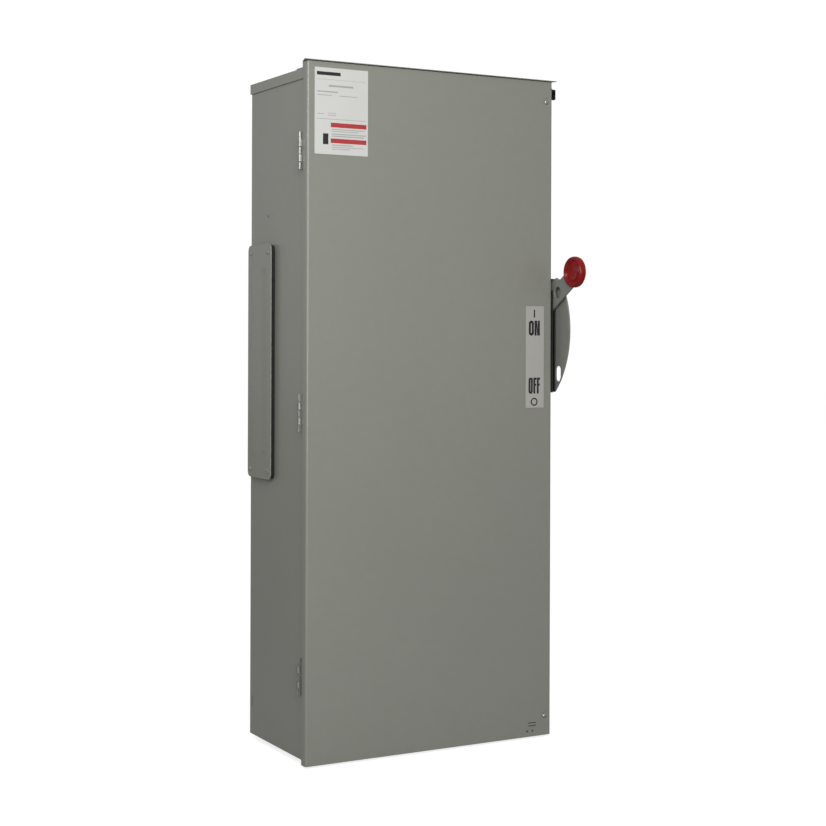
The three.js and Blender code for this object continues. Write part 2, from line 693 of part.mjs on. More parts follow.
function shaftBush() {
  const innerX = INNER_HALF - BUSH.insideLength;
  const flange = cylinder("x", BUSH.flangeRadius, [HALF_BODY + GAP, LEVER.x0 - GAP], [0, 0], 24);
  const sleeve = cylinder("x", SHAFT_BUSH_RADIUS, [innerX, HALF_BODY + THROUGH], [0, 0], 24);
  const bore = cylinder("x", SHAFT_RADIUS + GAP, [innerX - THROUGH, LEVER.x0]);
  return cut(union(flange, sleeve), bore);
}
add(enclosure, "shaft_bush", shaftBush(), nylon, atHandleAxis);

// ---- Link: keeps the handle's crank and the rotor's crank parallel ----
const LINK_HALF_WIDTH = 6;

function driveLink() {
  const dy = ROTOR_AXIS.y - HANDLE_AXIS.y;
  const dz = ROTOR_AXIS.z - HANDLE_AXIS.z;
  const length = Math.hypot(dy, dz);
  const side = new THREE.Vector2(-dz, dy).multiplyScalar(LINK_HALF_WIDTH / length);
  const bar = extrude(
    polygon([
      [side.x, side.y],
      [-side.x, -side.y],
      [dy - side.x, dz - side.y],
      [dy + side.x, dz + side.y],
    ]),
    "x",
    LINK_X,
  );
  const centres = [
    [0, 0],
    [dy, dz],
  ];
  const ends = centres.map((centre) => cylinder("x", LINK_EYE_RADIUS, LINK_X, centre));
  const bores = centres.map((centre) =>
    cylinder("x", CRANK_PIN_RADIUS + GAP, [LINK_X[0] - THROUGH, LINK_X[1] + THROUGH], centre, 14),
  );
  return cut(union(bar, ...ends), ...bores);
}
add(link, "drive_link", driveLink(), galvanised);

// ---- Rotor: three copper blades tied together by a moulded crossbar ----
function blade() {
  const { halfThickness, halfWidth, length, footRadius, corner, pinRadius } = BLADE;
  const range = [-halfThickness, halfThickness];
  const foot = cylinder("x", footRadius, range);
  const bar = extrude(
    roundedOutline([
      [-halfWidth, 0],
      [halfWidth, 0],
      [halfWidth, length, corner],
      [-halfWidth, length, corner],
    ]),
    "x",
    range,
    3,
  );
  const through = [-halfThickness - THROUGH, halfThickness + THROUGH];
  const bore = cylinder("x", pinRadius + GAP, through, [0, 0], 14);
  return cut(union(foot, bar), bore);
}

// Lengths are from the rotor's axis. The blades lie in notches in the crossbar's back.
const CROSSBAR = { fromX: -105, y: [-28, -4.5], z: [50, 72], corner: 4 };
const ROTOR_STUB_RADIUS = 5;

function crossbar() {
  const { fromX, y, z, corner } = CROSSBAR;
  const bar = extrude(roundedRectangle(...y, ...z, corner), "x", [fromX, ROTOR_CRANK_X[0] - GAP], 3);
  const room = BLADE.halfThickness + GAP;
  const notches = POLE_X.map((x) =>
    box([x - room, x + room], [-BLADE.halfWidth - GAP, 0], [z[0] - THROUGH, z[1] + THROUGH]),
  );
  return cut(bar, ...notches);
}

// A plate from the crossbar's end down round the stub, and out to the pin that the link turns on.
function rotorCrank() {
  const plate = extrude(
    polygon([
      [9, -9],
      [9, 30],
      [-2, 74],
      [-30, 74],
      [-39, -4],
      [-36, -17],
      [-24, -18],
      [-6, -12],
    ].reverse()),
    "x",
    ROTOR_CRANK_X,
  );
  const pinX = [ROTOR_CRANK_X[1], LINK_X[1]];
  const pin = cylinder("x", CRANK_PIN_RADIUS, pinX, [CRANK_PIN.y, CRANK_PIN.z], 14);
  const through = [ROTOR_CRANK_X[0] - THROUGH, ROTOR_CRANK_X[1] + THROUGH];
  const bore = cylinder("x", ROTOR_STUB_RADIUS + GAP, through, [0, 0], 16);
  return cut(union(plate, pin), bore);
}

add(rotor, "crossbar", crossbar(), moulded);
add(rotor, "rotor_crank", rotorCrank(), galvanised);
POLE_X.forEach((x, i) => add(rotor, `switch_blade_${i + 1}`, blade(), copper, { x }));

// ---- Mechanism frame: carries the shaft's inner end and the stub that the rotor's crank turns on ----
const FRAME = { x: [172, 175], frontY: -165, z: [60, 200], footX: 206, footSheet: 2 };

function mechanismFrame() {
  const { x, frontY, z, footX, footSheet } = FRAME;
  const plate = box(x, [frontY, BASE_BACK_Y], z);
  const foot = box([x[0], footX], [BASE_BACK_Y - footSheet, BASE_BACK_Y], z);
  const rotorAxis = [ROTOR_AXIS.y, ROTOR_AXIS.z];
  const stub = cylinder("x", ROTOR_STUB_RADIUS, [ROTOR_CRANK_X[0], x[0]], rotorAxis, 16);
  const through = [x[0] - THROUGH, x[1] + THROUGH];
  const shaftHole = cylinder("x", SHAFT_RADIUS + GAP, through, [HANDLE_AXIS.y, HANDLE_AXIS.z]);
  return cut(union(plate, foot, stub), shaftHole);
}

class Helix extends THREE.Curve {
  constructor(radius, pitch, turns) {
    super();
    Object.assign(this, { radius, pitch, turns });
  }
  getPoint(t, target = new THREE.Vector3()) {
    const angle = 2 * Math.PI * this.turns * t;
    return target.set(
      this.pitch * this.turns * t,
      this.radius * Math.cos(angle),
      this.radius * Math.sin(angle),
    );
  }
}

// The quick-action torsion spring winds round the shaft beside the frame.
const SPRING = { turns: 5, wire: 1.6, radius: 12.5, pitch: 5, stepsPerTurn: 10 };

function operatingSpring() {
  const wire = new THREE.Shape();
  wire.absarc(0, 0, SPRING.wire, 0, 2 * Math.PI);
  const coil = new THREE.ExtrudeGeometry(wire, {
    steps: SPRING.turns * SPRING.stepsPerTurn,
    curveSegments: 3,
    bevelEnabled: false,
    extrudePath: new Helix(SPRING.radius, SPRING.pitch, SPRING.turns),
  });
  return solid(coil);
}

add(enclosure, "mechanism_frame", mechanismFrame(), galvanised);
const atSpring = { x: FRAME.x[1] + 2 * SPRING.wire, ...atHandleAxis };
add(enclosure, "operating_spring", operatingSpring(), zinc, atSpring);

// ---- Mounting pan and moulded bases ----
const PAN = { halfWidth: 215, frontY: -22, z: [-520, 480] };

function mountingPan() {
  const { halfWidth: half, frontY, z } = PAN;
  const wallY = -SHEET - GAP;
  const outline = polygon([
    [-half, wallY],
    [-half, frontY],
    [half, frontY],
    [half, wallY],
    [half - SHEET, wallY],
    [half - SHEET, frontY + SHEET],
    [-half + SHEET, frontY + SHEET],
    [-half + SHEET, wallY],
  ]);
  return extrude(outline, "z", z);
}

const BASE_X = [-130, 140];
const SWITCH_BASE_Z = [8, 300];
const LOAD_BASE_Z = [-270, -146];
const BARRIER = { halfThickness: 2, frontY: -120, z: [184, 300] };
const BARRIER_X = [
  BASE_X[0] + BARRIER.halfThickness,
  (POLE_X[0] + POLE_X[1]) / 2,
  (POLE_X[1] + POLE_X[2]) / 2,
  BASE_X[1] - BARRIER.halfThickness,
];

function base(z) {
  return box(BASE_X, [BASE_FRONT_Y, BASE_BACK_Y], z);
}

function switchBase() {
  const { halfThickness: half, frontY, z } = BARRIER;
  const barriers = BARRIER_X.map((x) => box([x - half, x + half], [frontY, BASE_FRONT_Y + THROUGH], z));
  return union(base(SWITCH_BASE_Z), ...barriers);
}

add(enclosure, "mounting_pan", mountingPan(), galvanised);
add(enclosure, "switch_base", switchBase(), moulded);
add(enclosure, "load_base", base(LOAD_BASE_Z), moulded);

// ---- One pole: line terminal, arc chute, hinge terminal, fuse and load terminal ----
const FINGER_THICKNESS = 3.5;
const BLADE_FINGER_Y = -92;
const FUSE_FINGER_Y = -112;
const FUSE = {
  radius: 27,
  capRadius: 28.4,
  capLength: 12,
  z: [-150, 10],
  tabHalf: 2.5,
  tabHalfWidth: 12,
  tab: 32,
};
const LUG = { halfWidth: 17, frontY: -104, wireRadius: 10.5, wireY: -84, screw: 8, socket: 4, proud: 4 };
const LINE_BAR = { half: 16, z: [190, 298], jawZ: [194, 222], lugZ: [245, 290] };
const HINGE_BAR = { half: 14, z: [14, 112], pinHalf: 9, earZ: [88, 112], clipZ: [16, 44] };
const LOAD_BAR = { half: 16, z: [-262, -148], clipZ: [-180, -152], lugZ: [-258, -213] };
const CHUTE = {
  half: 24,
  wall: 3,
  frontY: -152,
  z: [186, 240],
  plate: 2,
  plateZ: 198,
  notchHalf: 6,
  notchZ: 229,
};
const CHUTE_PLATE_Y = [-142, -130, -118, -106];

// Two parallel fingers that grip a blade or a fuse tab of the given half thickness.
function fingers(halfOpening, frontY, z) {
  return [-1, 1].map((side) => {
    const range = [side * halfOpening, side * (halfOpening + FINGER_THICKNESS)].sort((a, b) => a - b);
    return box(range, [frontY, BUS_FRONT_Y + THROUGH], z);
  });
}

function busBar({ half, z }) {
  return box([-half, half], [BUS_FRONT_Y, BUS_BACK_Y], z);
}

// A box lug: an upright wire hole, closed by a set screw from the front.
function lug([z0, z1]) {
  const { halfWidth, frontY, wireRadius, wireY, screw, socket, proud } = LUG;
  const at = [0, (z0 + z1) / 2];
  const block = box([-halfWidth, halfWidth], [frontY, BUS_FRONT_Y + THROUGH], [z0, z1]);
  const wireHole = cylinder("z", wireRadius, [z0 - THROUGH, z1 + THROUGH], [0, wireY], 18);
  const head = cylinder("y", screw, [frontY - proud, frontY + THROUGH], at, 16);
  const hexagon = cylinder("y", socket, [frontY - proud - THROUGH, frontY - 0.5], at, 6);
  return cut(union(cut(block, wireHole), head), hexagon);
}

function lineTerminal() {
  const jaw = fingers(BLADE.halfThickness + GAP, BLADE_FINGER_Y, LINE_BAR.jawZ);
  return union(busBar(LINE_BAR), ...jaw, lug(LINE_BAR.lugZ));
}

function hingeTerminal() {
  const { pinHalf, earZ, clipZ } = HINGE_BAR;
  const pin = cylinder("x", BLADE.pinRadius, [-pinHalf, pinHalf], [ROTOR_AXIS.y, ROTOR_AXIS.z], 14);
  const ears = fingers(BLADE.halfThickness + GAP, BLADE_FINGER_Y, earZ);
  const clip = fingers(FUSE.tabHalf + GAP, FUSE_FINGER_Y, clipZ);
  return union(busBar(HINGE_BAR), pin, ...ears, ...clip);
}

function loadTerminal() {
  const clip = fingers(FUSE.tabHalf + GAP, FUSE_FINGER_Y, LOAD_BAR.clipZ);
  return union(busBar(LOAD_BAR), ...clip, lug(LOAD_BAR.lugZ));
}

// A cartridge fuse: a tube with a cap and a flat tab at each end.
function fuse() {
  const { radius, capRadius, capLength, z, tabHalf, tabHalfWidth, tab } = FUSE;
  const at = [0, FUSE_AXIS_Y];
  const tabX = [-tabHalf, tabHalf];
  const tabY = [FUSE_AXIS_Y - tabHalfWidth, FUSE_AXIS_Y + tabHalfWidth];
  return union(
    cylinder("z", radius, [z[0] + THROUGH, z[1] - THROUGH], at, 18),
    cylinder("z", capRadius, [z[0], z[0] + capLength], at, 18),
    cylinder("z", capRadius, [z[1] - capLength, z[1]], at, 18),
    box(tabX, tabY, [z[1] - THROUGH, z[1] + tab]),
    box(tabX, tabY, [z[0] - tab, z[0] + THROUGH]),
  );
}

// A fibre box, open at the front and below, with a stack of steel plates notched for the blade.
function arcChute() {
  const { half, wall, frontY, z, plate, plateZ, notchHalf, notchZ } = CHUTE;
  const sides = [-half, half - wall].map((x) => box([x, x + wall], [frontY, BUS_BACK_Y], z));
  const roof = box([-half, half], [frontY, BUS_FRONT_Y - THROUGH], [z[1] - wall, z[1]]);
  const plateHalf = half - wall + 0.5;
  const plates = CHUTE_PLATE_Y.map((y) => {
    const through = [y - THROUGH, y + plate + THROUGH];
    const notch = box([-notchHalf, notchHalf], through, [plateZ - THROUGH, notchZ]);
    return cut(box([-plateHalf, plateHalf], [y, y + plate], [plateZ, z[1] - wall + 0.5]), notch);
  });
  return union(...sides, roof, ...plates);
}

POLE_X.forEach((x, i) => {
  const number = i + 1;
  add(enclosure, `line_terminal_${number}`, lineTerminal(), copper, { x });
  add(enclosure, `arc_chute_${number}`, arcChute(), fibre, { x });
  add(enclosure, `hinge_terminal_${number}`, hingeTerminal(), copper, { x });
  add(enclosure, `fuse_${number}`, fuse(), fibre, { x });
  add(enclosure, `load_terminal_${number}`, loadTerminal(), copper, { x });
});

// ---- Neutral bar, ground bar and the clear shield over the live line terminals ----
const NEUTRAL = { x: -190, half: 16, y: [-52, -46], z: [-200, 160], postRadius: 15, postZ: [-120, 80] };
const NEUTRAL_LUG = { frontY: -90, wireY: -70, height: 45, z: [-190, 105] };
const GROUND = {
  x: [20, 180],
  y: [-38, BASE_BACK_Y],
  z: [-440, -424],
  screw: 5,
  proud: 4,
  wire: 3.5,
  wireY: -31,
};
const GROUND_SCREWS = { count: 6, firstX: 35, pitch: 26 };
const SHIELD = { y: [-131, -129], z: [243, 316], sheet: 2 };

function neutralBar() {
  const { half, y, z, postRadius, postZ } = NEUTRAL;
  const { frontY, wireY, height } = NEUTRAL_LUG;
  const bar = box([-half, half], y, z);
  const posts = postZ.map((at) => cylinder("y", postRadius, [y[1] - 0.5, BASE_BACK_Y], [0, at]));
  const lugs = NEUTRAL_LUG.z.map((low) => {
    const block = box([-LUG.halfWidth, LUG.halfWidth], [frontY, y[0] + THROUGH], [low, low + height]);
    const through = [low - THROUGH, low + height + THROUGH];
    return cut(block, cylinder("z", LUG.wireRadius, through, [0, wireY], 18));
  });
  return union(bar, ...posts, ...lugs);
}

function groundBar() {
  const { x, y, z, screw, proud, wire, wireY } = GROUND;
  const { count, firstX, pitch } = GROUND_SCREWS;
  const places = Array.from({ length: count }, (_, i) => firstX + i * pitch);
  const middleZ = (z[0] + z[1]) / 2;
  const screwY = [y[0] - proud, y[0] + THROUGH];
  const screws = places.map((at) => cylinder("y", screw, screwY, [at, middleZ], 8));
  const throughZ = [z[0] - THROUGH, z[1] + THROUGH];
  const wireHoles = places.map((at) => cylinder("z", wire, throughZ, [at, wireY], 8));
  return union(cut(box(x, y, z), ...wireHoles), ...screws);
}

// A bent sheet that hangs in front of the lugs from the top of the base.
function lineShield() {
  const { y, z, sheet } = SHIELD;
  const topZ = z[1] + sheet;
  const baseY = BASE_FRONT_Y - GAP;
  const profile = polygon([
    [y[0], z[0]],
    [y[1], z[0]],
    [y[1], z[1]],
    [baseY, z[1]],
    [baseY, topZ],
    [y[0], topZ],
  ]);
  return extrude(profile, "x", [BASE_X[0] + THROUGH, BASE_X[1] - THROUGH]);
}

add(enclosure, "neutral_bar", neutralBar(), copper, { x: NEUTRAL.x });
add(enclosure, "ground_bar", groundBar(), zinc);
add(enclosure, "line_shield", lineShield(), clear);

export default disconnect;
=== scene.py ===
"""A grey wall-mounted safety disconnect switch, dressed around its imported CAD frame.

Lengths are in metres, in the frame's own axes: +Z up, and the door faces -Y.
"""

import json
import math

import bmesh
import bpy
from mathutils import Matrix, Vector


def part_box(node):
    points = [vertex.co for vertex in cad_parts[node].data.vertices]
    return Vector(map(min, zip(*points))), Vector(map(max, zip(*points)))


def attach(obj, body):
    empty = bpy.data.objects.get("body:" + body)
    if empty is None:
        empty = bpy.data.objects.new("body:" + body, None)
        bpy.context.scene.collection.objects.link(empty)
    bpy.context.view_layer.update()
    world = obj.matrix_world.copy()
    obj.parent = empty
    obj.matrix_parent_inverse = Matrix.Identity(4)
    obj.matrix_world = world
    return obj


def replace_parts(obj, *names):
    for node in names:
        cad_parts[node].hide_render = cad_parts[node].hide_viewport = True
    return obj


MM = 0.001
FRONT = Vector((0, -1, 0))

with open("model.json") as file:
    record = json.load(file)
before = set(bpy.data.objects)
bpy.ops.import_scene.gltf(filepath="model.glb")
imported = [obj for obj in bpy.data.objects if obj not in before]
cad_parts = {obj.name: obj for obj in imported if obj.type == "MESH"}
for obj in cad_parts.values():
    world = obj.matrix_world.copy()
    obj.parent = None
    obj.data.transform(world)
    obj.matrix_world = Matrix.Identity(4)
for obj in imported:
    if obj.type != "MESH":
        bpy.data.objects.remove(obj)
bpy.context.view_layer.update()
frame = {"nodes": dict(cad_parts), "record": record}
nodes = frame["nodes"]


# ---- Camera, floor and light ----
EYE = Vector((-1.4769, -2.8473, 0.1403))
YAW_DEGREES = 28.93
ROLL_DEGREES = 0.187
LENS_MM = 71.98
SENSOR_MM = 36.0
SHIFT_UP = -0.0954
FLOOR_HALF_WIDTH = 14.0
FLOOR_GAP = 4 * MM
FLOOR_GREY = 0.38


def seen_or_lit(tree, seen, lit):
    """One value for what the camera sees directly and another for the light given to the box."""
    path = tree.nodes.new("ShaderNodeLightPath")
    value = tree.nodes.new("ShaderNodeMapRange")
    value.inputs["To Min"].default_value = lit
    value.inputs["To Max"].default_value = seen
    tree.links.new(path.outputs["Is Camera Ray"], value.inputs["Value"])
    return value.outputs["Result"]


def make_camera():
    yaw, roll = math.radians(YAW_DEGREES), math.radians(ROLL_DEGREES)
    data = bpy.data.cameras.new("camera")
    data.lens = LENS_MM
    data.sensor_width = SENSOR_MM
    data.shift_y = SHIFT_UP
    data.clip_start = 0.05
    data.clip_end = 60.0
    camera = bpy.data.objects.new("camera", data)
    turn = Matrix.Rotation(-yaw, 4, "Z") @ Matrix.Rotation(math.pi / 2, 4, "X")
    camera.matrix_world = Matrix.Translation(EYE) @ turn @ Matrix.Rotation(roll, 4, "Z")
    bpy.context.scene.collection.objects.link(camera)
    bpy.context.scene.camera = camera


def make_floor():
    """A pale flat floor just under the box. It shows as white as the background it meets."""
    mesh = bpy.data.meshes.new("floor")
    work = bmesh.new()
    bmesh.ops.create_grid(work, x_segments=1, y_segments=1, size=FLOOR_HALF_WIDTH)
    work.to_mesh(mesh)
    work.free()
    floor = bpy.data.objects.new("floor", mesh)
    floor.location.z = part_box("door_panel")[0].z - FLOOR_GAP
    bpy.context.scene.collection.objects.link(floor)
    paint = bpy.data.materials.new("floor")
    paint.use_nodes = True
    shader = paint.node_tree.nodes["Principled BSDF"]
    shader.inputs["Base Color"].default_value = (FLOOR_GREY, FLOOR_GREY, FLOOR_GREY, 1)
    shader.inputs["Roughness"].default_value = 1.0
    shader.inputs["Emission Color"].default_value = (1, 1, 1, 1)
    glow = seen_or_lit(paint.node_tree, seen=0.8, lit=0.0)
    paint.node_tree.links.new(glow, shader.inputs["Emission Strength"])
    mesh.materials.append(paint)


def make_light(name, place, target, size, power):
    data = bpy.data.lights.new(name, "AREA")
    data.shape = "RECTANGLE"
    data.size, data.size_y = size
    data.energy = power
    lamp = bpy.data.objects.new(name, data)
    direction = Vector(target) - Vector(place)
    turn = direction.to_track_quat("-Z", "Y").to_matrix().to_4x4()
    lamp.matrix_world = Matrix.Translation(place) @ turn
    lamp.visible_camera = False
    bpy.context.scene.collection.objects.link(lamp)


def make_studio():
    """A white backdrop all round, a soft key lamp, a tall strip at the left and a broad fill."""
    world = bpy.data.worlds.new("studio")
    world.use_nodes = True
    tree = world.node_tree
    background = tree.nodes["Background"]
    background.inputs["Color"].default_value = (1, 1, 1, 1)
    strength = seen_or_lit(tree, seen=1.02, lit=0.5)
    tree.links.new(strength, background.inputs["Strength"])
    bpy.context.scene.world = world
    make_light("key", (-0.9, -1.7, 1.0), (-0.1, -0.25, 0.1), (0.6, 0.7), 15)
    make_light("strip", (-1.7, -0.93, 0.85), (-0.25, -0.25, 0.35), (0.12, 0.8), 7)
    make_light("fill", (-0.6, -2.9, 0.3), (0, -0.25, 0), (1.2, 1.2), 24)
    bpy.context.scene.view_settings.view_transform = "Standard"


# ---- Materials ----
# Most of a noise texture's values lie between these two.
NOISE_SPAN = (0.3, 0.7)


class Material:
    """A procedural material: a Principled shader with helper nodes that vary it."""

    def __init__(self, name, color, roughness, metallic=0.0):
        self.data = bpy.data.materials.new(name)
        self.data.use_nodes = True
        self.tree = self.data.node_tree
        self.shader = self.tree.nodes["Principled BSDF"]
        self.shader.inputs["Base Color"].default_value = (*color, 1)
        self.shader.inputs["Roughness"].default_value = roughness
        self.shader.inputs["Metallic"].default_value = metallic
        self.color = color
        self.place = self.tree.nodes.new("ShaderNodeTexCoord").outputs["Object"]
        self.last_bump = None

    def noise(self, scale, detail=4.0, stretch=(1, 1, 1)):
        mapping = self.tree.nodes.new("ShaderNodeMapping")
        mapping.inputs["Scale"].default_value = stretch
        self.tree.links.new(self.place, mapping.inputs["Vector"])
        node = self.tree.nodes.new("ShaderNodeTexNoise")
        node.inputs["Scale"].default_value = scale
        node.inputs["Detail"].default_value = detail
        self.tree.links.new(mapping.outputs["Vector"], node.inputs["Vector"])
        return node.outputs["Fac"]

    def spread(self, value, low, high):
        """Maps a noise value to low..high."""
        node = self.tree.nodes.new("ShaderNodeMapRange")
        for key, number in zip(("From Min", "From Max", "To Min", "To Max"), (*NOISE_SPAN, low, high)):
            node.inputs[key].default_value = number
        self.tree.links.new(value, node.inputs["Value"])
        return node.outputs["Result"]

    def tint(self, value, other, amount=1.0):
        """Mixes the base colour towards another where value is high."""
        mix = self.tree.nodes.new("ShaderNodeMix")
        mix.data_type = "RGBA"
        base = self.shader.inputs["Base Color"]
        if base.is_linked:
            self.tree.links.new(base.links[0].from_socket, mix.inputs["A"])
        else:
            mix.inputs["A"].default_value = (*self.color, 1)
        mix.inputs["B"].default_value = (*other, 1)
        self.tree.links.new(self.spread(value, 0.0, amount), mix.inputs["Factor"])
        self.tree.links.new(mix.outputs["Result"], base)

    def vary_roughness(self, value, low, high):
        self.tree.links.new(self.spread(value, low, high), self.shader.inputs["Roughness"])

    def bump(self, value, distance, strength=1.0):
        node = self.tree.nodes.new("ShaderNodeBump")
        node.inputs["Strength"].default_value = strength
        node.inputs["Distance"].default_value = distance
        self.tree.links.new(value, node.inputs["Height"])
        if self.last_bump:
            self.tree.links.new(self.last_bump, node.inputs["Normal"])
        self.last_bump = node.outputs["Normal"]
        self.tree.links.new(self.last_bump, self.shader.inputs["Normal"])


def painted(name, color):
    """Baked grey enamel on sheet steel: satin, with orange peel and a faint cloudiness."""
    paint = Material(name, color, 0.36)
    light = tuple(min(1, c * 1.07) for c in color)
    dark = tuple(c * 0.94 for c in color)
    paint.tint(paint.noise(3.0, 3), light, 0.5)
    paint.tint(paint.noise(60.0, 3), dark, 0.35)
    paint.vary_roughness(paint.noise(9.0, 4), 0.32, 0.40)
    paint.bump(paint.noise(420.0, 2), 0.00010, 0.35)
    paint.bump(paint.noise(1500.0, 2), 0.00003, 0.3)
    paint.shader.inputs["Coat Weight"].default_value = 0.3
    paint.shader.inputs["Coat Roughness"].default_value = 0.2
    return paint.data


def plated(name, color, roughness, stretch=(1, 1, 1)):
    metal = Material(name, color, roughness, 1.0)
    metal.tint(metal.noise(90.0, 4, stretch), tuple(c * 0.72 for c in color), 0.6)
    metal.vary_roughness(metal.noise(140.0, 4, stretch), roughness * 0.75, roughness * 1.35)
    metal.bump(metal.noise(700.0, 3, stretch), 0.00004, 0.4)
    return metal.data


def moulded(name, color, roughness, grain=900.0):
    plastic = Material(name, color, roughness)
    plastic.tint(plastic.noise(40.0, 4), tuple(c * 0.75 for c in color), 0.5)
    plastic.vary_roughness(plastic.noise(120.0, 3), roughness * 0.85, min(1, roughness * 1.15))
    plastic.bump(plastic.noise(grain, 3), 0.00006, 0.4)
    return plastic.data


def printed_film(name, color, roughness):
    """Thin satin label film: almost even, with a fine grain."""
    film = Material(name, color, roughness)
    film.tint(film.noise(14.0, 3), tuple(c * 0.95 for c in color), 0.5)
    film.vary_roughness(film.noise(30.0, 3), roughness * 0.85, roughness * 1.2)
    film.bump(film.noise(1500.0, 2), 0.00003, 0.3)
    return film.data


def red_plastic():
    """Glossy moulded red, slightly uneven in colour and polish."""
    plastic = Material("red_plastic", (0.21, 0.0015, 0.003), 0.15)
    plastic.tint(plastic.noise(55.0, 3), (0.18, 0.002, 0.004), 0.6)
    plastic.vary_roughness(plastic.noise(160.0, 4), 0.12, 0.28)
    plastic.bump(plastic.noise(380.0, 3), 0.00008, 0.35)
    plastic.shader.inputs["Specular IOR Level"].default_value = 0.3
    return plastic.data


def clear_plastic():
    plastic = Material("clear_plastic", (0.92, 0.96, 0.97), 0.08)
    plastic.shader.inputs["Transmission Weight"].default_value = 0.9
    plastic.shader.inputs["IOR"].default_value = 1.45
    plastic.bump(plastic.noise(14.0, 2), 0.0002, 0.3)
    return plastic.data


PAINT = painted("grey_paint", (0.205, 0.209, 0.181))
# A darker copy of the enclosure grey: the difference is painted shade on the handle, which stands in the
# box's shadow.
HANDLE_PAINT_SHADED = painted("handle_paint", (0.172, 0.177, 0.157))
BLACK_STEEL = plated("black_steel", (0.02, 0.02, 0.02), 0.45)
# Near-black gasket foam: the dark strip along the side cover's front edge is partly this gasket and partly
# painted shade of the gap under the cover.
FOAM_AND_SHADE = moulded("foam", (0.010, 0.010, 0.009), 0.95, 300.0)
RED = red_plastic()
ZINC = plated("zinc", (0.50, 0.50, 0.48), 0.30, (1, 1, 12))
HINGE_ZINC = plated("hinge_zinc", (0.33, 0.33, 0.31), 0.42, (1, 1, 6))
GALVANISED = plated("galvanised", (0.40, 0.42, 0.42), 0.42)
COPPER = plated("copper", (0.62, 0.27, 0.16), 0.32, (1, 1, 8))
TINNED = plated("tinned", (0.60, 0.60, 0.58), 0.35)
MOULDING = moulded("moulding", (0.045, 0.018, 0.014), 0.5)
FIBRE = moulded("fibre", (0.33, 0.28, 0.20), 0.85)
FUSE_TUBE = moulded("fuse_tube", (0.55, 0.52, 0.44), 0.6)
PLATE_FILM = printed_film("plate_film", (0.53, 0.53, 0.505), 0.38)
SWITCH_FILM = printed_film("switch_film", (0.35, 0.345, 0.32), 0.40)
INK = moulded("ink", (0.006, 0.006, 0.006), 0.6, 1500.0)
GREY_INK = moulded("grey_ink", (0.33, 0.33, 0.32), 0.5, 1500.0)
RED_INK = moulded("red_ink", (0.38, 0.025, 0.03), 0.45, 1500.0)
# Near-black plastic used as painted shade: the guard's wear pad and the plate beside the lever give the dark
# strips along the door's right edge.
SHADE_BLACK_NYLON = moulded("nylon", (0.007, 0.007, 0.007), 0.6)
CLEAR = clear_plastic()
# Near-black paint used as painted shade inside the wall's open hole and slot and the door's drain openings.
SHADOW_PAINT = painted("painted_recess_shade", (0.05, 0.052, 0.045))

POLES = (1, 2, 3)
HINGES = (1, 2, 3)
SLOT_OF = {part["node"]: part["material_slot"] for part in frame["record"]["subparts"]}
BODY_OF = {node: body for body, members in frame["record"]["behaviour"]["bodies"].items() for node in members}
FINISH = {
    "grey_paint": PAINT,
    "handle_paint": HANDLE_PAINT_SHADED,
    "black_steel": BLACK_STEEL,
    "foam": FOAM_AND_SHADE,
    "red_plastic": RED,
    "zinc": ZINC,
    "galvanised": GALVANISED,
    "copper": COPPER,
    "tinned": TINNED,
    "moulding": MOULDING,
    "fibre": FIBRE,
    "label": PLATE_FILM,
    "nylon": SHADE_BLACK_NYLON,
    "clear_plastic": CLEAR,
}
for node_name, node_object in nodes.items():
    node_object.data.materials.clear()
    node_object.data.materials.append(FINISH[SLOT_OF[node_name]])


# ---- Making pieces ----
MERGE_DISTANCE = 0.002 * MM


def evaluated_mesh(obj):
    """A new mesh of an object as its modifiers or curve settings leave it."""
    bpy.context.view_layer.update()
    graph = bpy.context.evaluated_depsgraph_get()
    return bpy.data.meshes.new_from_object(obj.evaluated_get(graph))


def finish_mesh(name, work, material, body, smooth_degrees=38):
    """Turns a bmesh into a piece that rides on a body, shaded smooth up to an angle."""
    bmesh.ops.recalc_face_normals(work, faces=work.faces)
    mesh = bpy.data.meshes.new(name)
    work.to_mesh(mesh)
    work.free()
    mesh.materials.append(material)
    mesh.shade_smooth()
    mesh.set_sharp_from_angle(angle=math.radians(smooth_degrees))
    obj = bpy.data.objects.new(name, mesh)
    bpy.context.scene.collection.objects.link(obj)
    normals = obj.modifiers.new("normals", "WEIGHTED_NORMAL")
    normals.keep_sharp = True
    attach(obj, body)
    return obj


def soften(work, width, segments=2, from_degrees=40):
    """Rounds the edges of a bmesh that are sharper than from_degrees."""
    limit = math.radians(from_degrees)
    sharp = [e for e in work.edges if len(e.link_faces) == 2 and e.calc_face_angle(0) > limit]
    if sharp:
        bmesh.ops.bevel(
            work, geom=sharp, offset=width, segments=segments, profile=0.5, affect="EDGES", clamp_overlap=True
        )


def refine(node, width=0.4 * MM, material=None, segments=2, tools=()):
    """Replaces a CAD node by a copy with softened edges and smooth round faces, cut by any tools given."""
    work = bmesh.new()
    work.from_mesh(nodes[node].data)
    bmesh.ops.remove_doubles(work, verts=work.verts, dist=MERGE_DISTANCE)
    bmesh.ops.dissolve_limit(work, angle_limit=math.radians(0.5), verts=work.verts, edges=work.edges)
    soften(work, width, segments)
    if tools:
        work = carved(work, *tools)
    slot = SLOT_OF[node]
    copy = finish_mesh(node + "_fine", work, material or FINISH[slot], BODY_OF[node])
    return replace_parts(copy, node)


